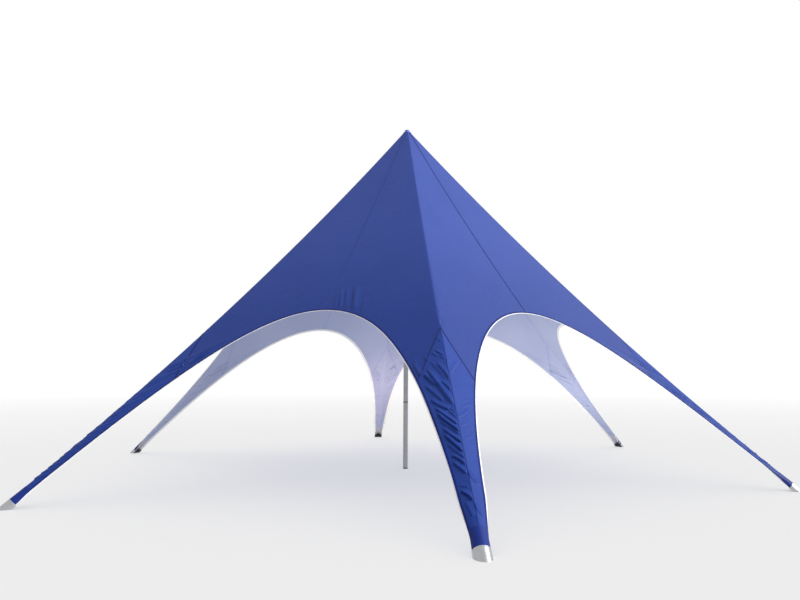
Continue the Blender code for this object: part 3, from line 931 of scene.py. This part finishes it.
# A sheet round the leg at the foot, between two cuts square to the foot's axis. A square cut
# drops below its ridge height by the radius times (1 - cos of the turn), times cos of the slope.
def footSheet(leg, name, low, high, reach, outerDepth, innerDepth, materials):
    rise = np.linspace(0, 1, 30)[:, None]
    share = np.linspace(-reach, reach, 41)[None, :] * (1 - foot["taper"] * rise)
    drop = math.cos(footAngle) * star["legRadius"] * (1 - np.cos(share * star["curlAngle"]))
    z = low + (high - low) * rise - drop
    run = share * runToHem(np.maximum(z, 0.001), -star["hemBeyond"])
    places = [turned(clothPoint(z, run, depth), legTurns[leg]) for depth in (outerDepth, innerDepth)]
    uv = np.stack(np.broadcast_arrays(run, z / math.sin(footAngle)), -1)
    return putSheet(name, places[0], places[1], uv, materials)


rimRidge = foot["length"] * math.sin(footAngle) - math.cos(footAngle) * shellRise
shellPieces, blockPieces, sleevePieces, patchPieces = [], [], [], []
for leg, name in enumerate(legNames):
    outer, inner, lip = foot["shellRadius"], foot["shellRadius"] - foot["wall"], foot["lip"]
    rings, uv = footSolid(pipeProfile(outer, inner), pipeProfile(outer - lip, inner + lip), 0.0, lip)
    shellPieces.append(putLoft("shell_" + name, turned(rings, legTurns[leg]), uv, [footMetal], 60))
    radius, edge = foot["blockRadius"], foot["blockEdge"]
    profiles = rodProfile(radius, edge), rodProfile(radius - edge, edge)
    rings, uv = footSolid(*profiles, foot["blockStart"], edge)
    blockPieces.append(putLoft("block_" + name, turned(rings, legTurns[leg]), uv, [blackRubber], 60))
    span = rimRidge + 0.001, foot["sleeveTop"]
    sleevePieces.append(footSheet(leg, "sleeve_" + name, *span, 0.99, -0.0021, -0.0003, [shadedSleeveCloth]))
    span = rimRidge - 0.01, foot["patchTop"]
    patchPieces.append(footSheet(leg, "foot_patch_" + name, *span, 0.60, 0.0025, 0.0040, [shadedBinding]))

print("pole")

pole = dict(
    radius=0.034,
    wall=0.003,
    section=0.935,
    sections=4,
    flange=0.012,
    gap=0.0003,
    spigot=0.08,
    chamfer=0.0015,
    segments=72,
    ringHeight=0.022,
    ringProud=0.0009,
)


# A profile of (radius, height) turned round the pole's axis: rings of points, or with byAngle
# the profile at each angle.
def turnedPlaces(profile, byAngle=False):
    angles = np.linspace(0, 2 * math.pi, pole["segments"], endpoint=False)
    radius, height = np.array(profile).T
    if byAngle:
        angles, radius, height = angles[:, None], radius[None], height[None]
    else:
        angles, radius, height = angles[None], radius[:, None], height[:, None]
    places = np.stack(np.broadcast_arrays(radius * np.cos(angles), radius * np.sin(angles), height), -1)
    return places, np.stack(np.broadcast_arrays(angles * pole["radius"], height), -1)


# A tube's profile is closed, and a solid's starts and ends near the axis and is capped.
def turnedTube(name, profile, materials):
    places, uv = turnedPlaces(profile, byAngle=True)
    faces = gridFaces(*places.shape[:2], ring=True, closed=True)
    return putMesh(name, places, faces, uv, materials)


def turnedSolid(name, profile, materials):
    return putLoft(name, *turnedPlaces(profile), materials)


# One section of tube, with a narrower spigot that plugs into the next one.
def sectionProfile(bottom, top, spigot):
    radius, bore, cut = pole["radius"], pole["radius"] - pole["wall"], pole["chamfer"]
    loop = [(radius - cut, bottom), (radius, bottom + cut), (radius, top - cut), (radius - cut, top)]
    if spigot:
        neck, end = bore - pole["gap"], top + pole["spigot"]
        inside = neck - pole["wall"]
        loop += [(neck, top), (neck, end - cut), (neck - cut, end), (inside, end), (inside, top)]
        loop += [(bore, top - 2 * pole["wall"]), (bore, bottom)]
    else:
        loop += [(bore, top), (bore, bottom)]
    return loop


headFoot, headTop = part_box("pole_head")[0].z + pole["spigot"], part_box("pole_head")[1].z
sectionPieces, ringPieces = [], []
bottom = pole["flange"] + pole["gap"]
for number in range(1, pole["sections"] + 2):
    last = number == pole["sections"] + 1
    top = headFoot - pole["gap"] if last else bottom + pole["section"]
    sectionPieces.append(turnedTube(f"pole_{number}", sectionProfile(bottom, top, not last), [poleMetal]))
    if not last:
        r, half = pole["radius"] + 0.0001, pole["ringHeight"] / 2
        high = r + pole["ringProud"]
        rim = high - 0.0003
        loop = [(r, top - half), (rim, top - half), (high, top - half + 0.001)]
        loop += [(high, top + half - 0.001), (rim, top + half), (r, top + half)]
        ringPieces.append(turnedTube(f"pole_joint_ring_{number}", loop, [jointPlastic]))
    bottom = top + pole["gap"]

radius, bore = pole["radius"], pole["radius"] - pole["wall"] - pole["gap"]
plug = dict(top=0.092, chamfer=0.004, hollow=0.004)
flange = pole["flange"]
plugProfile = [(plug["hollow"], 0.0), (radius - 0.002, 0.0), (radius, 0.002), (radius, flange - 0.001)]
plugProfile += [(radius - 0.001, flange), (bore, flange), (bore, plug["top"] - plug["chamfer"])]
plugProfile += [(bore - 0.003, plug["top"]), (plug["hollow"], plug["top"])]
plugPiece = turnedSolid("pole_plug", plugProfile, [blackRubber])
headLow = headFoot - pole["spigot"]
tip = float(ridgeRadius(headTop)) * cos30 - 0.006
headProfile = [(plug["hollow"], headLow), (bore - 0.002, headLow), (bore, headLow + 0.002), (bore, headFoot)]
headProfile += [(radius - 0.001, headFoot), (radius, headFoot + 0.001), (tip + 0.004, headTop - 0.006)]
headProfile += [(tip + 0.002, headTop - 0.002), (tip - 0.002, headTop), (plug["hollow"], headTop)]
headPiece = turnedSolid("pole_top", headProfile, [darkPlastic])

# The cap: a six-sided skirt on the cloth that rounds off into a dome.
cap = dict(skirt=0.030, height=0.026, thickness=0.0018, clear=0.0004)
cap.update(segments=96, domeSteps=12, skirtSteps=6)
capFinish = clothMaterial("capCloth", (0.055, 0.105, 0.46), (0.04, 0.08, 0.38), sheen=0.15)


# At bearing t the six-sided radius is the apothem over cos of t, folded into 60 degrees. The dome
# turns it round: its radius falls as cos of the climb while its height rises as sin.
def capRings(proud):
    turns = np.linspace(0, 2 * math.pi, cap["segments"], endpoint=False)
    corner = cos30 / np.cos(turns % (math.pi / 3) - math.pi / 6)
    levels = []
    for step in np.linspace(0, 1, cap["skirtSteps"]):
        z = star["top"] - cap["skirt"] * (1 - step)
        levels.append((float(ridgeRadius(z)) * (corner * 0.97 + 0.03 * cos30) + proud, z))
    base = float(ridgeRadius(star["top"])) + proud
    for step in np.linspace(0, 1, cap["domeSteps"])[1:]:
        climb = step * math.pi / 2 * 0.985
        radius = base * (corner * (1 - step) + cos30 * step) * math.cos(climb) ** 0.8
        levels.append((radius, star["top"] + (cap["height"] + proud - cap["thickness"]) * math.sin(climb)))
    bearing = turns + legTurns[0]
    return np.array([np.stack([r * np.cos(bearing), r * np.sin(bearing), 0 * r + z], -1) for r, z in levels])


capShell = np.concatenate([capRings(cap["clear"])[::-1], capRings(cap["clear"] + cap["thickness"])])
capAcross = np.broadcast_to(np.linspace(0, 0.3, cap["segments"]), capShell.shape[:2])
capCut = np.stack([capAcross, capShell[..., 2]], -1)
capPiece = putLoft("cap_of_peak", capShell, capCut, [capFinish], 60)

print("stage, light and camera")

stage = dict(
    reach=90.0,
    floor=(0.60, 0.60, 0.60),
    floorDeep=(0.5, 0.5, 0.5),
    floorGlow=0.42,  # the floor is lit from within, like a light table
    farGlow=0.58,
    sky=(1.0, 1.0, 1.0),
    skyStrength=0.73,
    backdropStrength=1.0,
    keyStrength=4.4,
    keyFrom=(1.0, -0.3, 0.75),  # towards the light
    keyAngle=40,  # degrees across, which softens its shadows
)

# Soft light that would bounce in under the canopy: up under the right half, on the rear leg and
# on the rear right leg.
bounces = [
    dict(power=44, colour=(1.0, 0.95, 0.86), at=(1.9, 0.8, 0.05), towards=(0.3, 0.05, 1), size=2.4),
    dict(power=18, colour=(1.0, 0.74, 0.64), at=(0.3, 2.9, 0.2), towards=(-0.1, 1, 0.42), size=0.9),
    dict(power=9, colour=(1.0, 0.92, 0.86), at=(2.9, 1.6, 0.15), towards=(0.8, 0.45, 0.5), size=0.9),
]

floorMaterial, floorTree, floorSurface = newMaterial("studioFloor")
floorPlaces = addNode(floorTree, "ShaderNodeTexCoord").outputs["Object"]
floorFar = addNode(floorTree, "ShaderNodeVectorMath", dict(operation="LENGTH"), i0=floorPlaces)
floorSpan = dict(Value=floorFar.outputs["Value"], From_Min=7.0, From_Max=40.0)
floorShare = addNode(floorTree, "ShaderNodeMapRange", dict(clamp=True), **floorSpan)
floorGrain = noise(floorTree, floorPlaces, 3.0, 3.0)
grainShare = calculate(floorTree, "MULTIPLY", floorGrain.outputs["Fac"], 0.06)
floorColour = blendColours(floorTree, grainShare, shaded(stage["floor"]), shaded(stage["floorDeep"]))
glowSpan = stage["farGlow"] - stage["floorGlow"]
glow = calculate(floorTree, "MULTIPLY_ADD", floorShare.outputs[0], glowSpan, stage["floorGlow"])
setSockets(floorTree, floorSurface, Base_Color=floorColour, Roughness=0.9, Specular_IOR_Level=0.1)
setSockets(floorTree, floorSurface, Emission_Strength=glow, Emission_Color=(1, 1, 1, 1))
reach = stage["reach"]
floorMesh = bpy.data.meshes.new("floor")
corners = [(-reach, -reach, 0), (reach, -reach, 0), (reach, reach, 0), (-reach, reach, 0)]
floorMesh.from_pydata(corners, [], [(0, 1, 2, 3)])
floorMesh.materials.append(floorMaterial)
floor = bpy.data.objects.new("floor", floorMesh)
bpy.context.scene.collection.objects.link(floor)

world = bpy.data.worlds.new("studio")
world.use_nodes = True
tree = world.node_tree
sky = tree.nodes["Background"]
skyColour = shaded(stage["sky"])
setSockets(tree, sky, Color=skyColour, Strength=stage["skyStrength"])
backdrop = addNode(tree, "ShaderNodeBackground", Color=skyColour, Strength=stage["backdropStrength"])
seen = addNode(tree, "ShaderNodeLightPath").outputs["Is Camera Ray"]
mixed = addNode(tree, "ShaderNodeMixShader", i0=seen, i1=sky.outputs[0], i2=backdrop.outputs[0])
tree.links.new(mixed.outputs[0], tree.nodes["World Output"].inputs["Surface"])
bpy.context.scene.world = world

keyLight = bpy.data.lights.new("key", "SUN")
keyLight.energy = stage["keyStrength"]
keyLight.angle = math.radians(stage["keyAngle"])
key = bpy.data.objects.new("key", keyLight)
bpy.context.scene.collection.objects.link(key)


# A rotation whose columns are right, up and back, from yaw, pitch and roll in degrees.
def lookMatrix(yaw, pitch, roll):
    yaw, pitch, roll = (math.radians(a) for a in (yaw, pitch, roll))
    right = np.array([math.cos(yaw), math.sin(yaw), 0])
    ahead = np.array([-math.sin(yaw) * math.cos(pitch), math.cos(yaw) * math.cos(pitch), -math.sin(pitch)])
    up = np.cross(right, ahead)
    rolledRight = right * math.cos(roll) + up * math.sin(roll)
    rolledUp = up * math.cos(roll) - right * math.sin(roll)
    matrix = np.eye(4)
    matrix[:3, 0], matrix[:3, 1], matrix[:3, 2] = rolledRight, rolledUp, -ahead
    return matrix


# The key leaves the floor out, so the floor keeps only the soft shade under the canopy.
unlit = bpy.data.collections.new("unlitByKey")
unlit.objects.link(floor)
unlit.collection_objects[0].light_linking.link_state = "EXCLUDE"
key.light_linking.receiver_collection = unlit


# The rotation of a light that shines in a direction: yaw and pitch are that direction's.
def aimed(direction):
    direction = np.array(direction) / np.linalg.norm(direction)
    pitch = math.degrees(math.asin(-direction[2]))
    yaw = math.degrees(math.atan2(-direction[0], direction[1]))
    return lookMatrix(yaw, pitch, 0)


for bounce in bounces:
    lamp = bpy.data.lights.new("bounce", "AREA")
    lamp.energy, lamp.color, lamp.size = bounce["power"], bounce["colour"], bounce["size"]
    thing = bpy.data.objects.new("bounce", lamp)
    matrix = aimed(bounce["towards"])
    matrix[:3, 3] = bounce["at"]
    thing.matrix_world = matrix.T.tolist()
    thing.visible_camera = False
    thing.visible_glossy = False
    thing.light_linking.receiver_collection = unlit
    bpy.context.scene.collection.objects.link(thing)

key.matrix_world = aimed([-share for share in stage["keyFrom"]]).T.tolist()

# The photograph's camera: its focal length and the foot of its axis are in pixels.
view = dict(place=(-1.218, -10.329, 1.386), yaw=-8.149, pitch=-5.76, roll=0.163)
view.update(focal=710.1, middle=(423.8, 300.0), size=(800, 600), sensor=36)
lens = bpy.data.cameras.new("camera")
width, height = view["size"]
lens.sensor_width = view["sensor"]
lens.lens = view["focal"] * view["sensor"] / width
lens.shift_x = (width / 2 - view["middle"][0]) / width
lens.shift_y = (view["middle"][1] - height / 2) / width
lens.clip_end = 400
camera = bpy.data.objects.new("camera", lens)
cameraMatrix = lookMatrix(view["yaw"], view["pitch"], view["roll"])
cameraMatrix[:3, 3] = view["place"]
camera.matrix_world = cameraMatrix.T.tolist()
bpy.context.scene.collection.objects.link(camera)
bpy.context.scene.camera = camera
bpy.context.scene.view_settings.view_transform = "Standard"

print("frame")


# Area of one side of a sheet: half of all its faces.
def sheetArea(thing):
    areas = np.zeros(len(thing.data.polygons), np.float32)
    thing.data.polygons.foreach_get("area", areas)
    return float(areas.sum()) / 2


for thing in bpy.data.objects:
    if thing.type == "MESH" and "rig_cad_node" not in thing and thing.name != "floor":
        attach(thing, "root")
for leg, name in enumerate(legNames):
    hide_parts(f"crown_panel_right_of_{name}_leg", f"crown_panel_left_of_{name}_leg")
    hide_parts("leg_panel_" + name)
    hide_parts("arch_hem_" + faceNames[leg])
    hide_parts("foot_shell_" + name)
    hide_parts("foot_block_" + name)
for number, piece in enumerate(sectionPieces, 1):
    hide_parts(f"pole_section_{number}")
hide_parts("pole_base_plug")
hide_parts("pole_head")
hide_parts("peak_cap")

crownArea = sheetArea(crownSheet)
legArea = sheetArea(legPieces[0])
print("areas", round(crownArea, 2), round(legArea, 3), round(hemLength, 3))
print("small areas", *[sheetArea(piece) for piece in (capPiece, sleevePieces[0], patchPieces[0])])
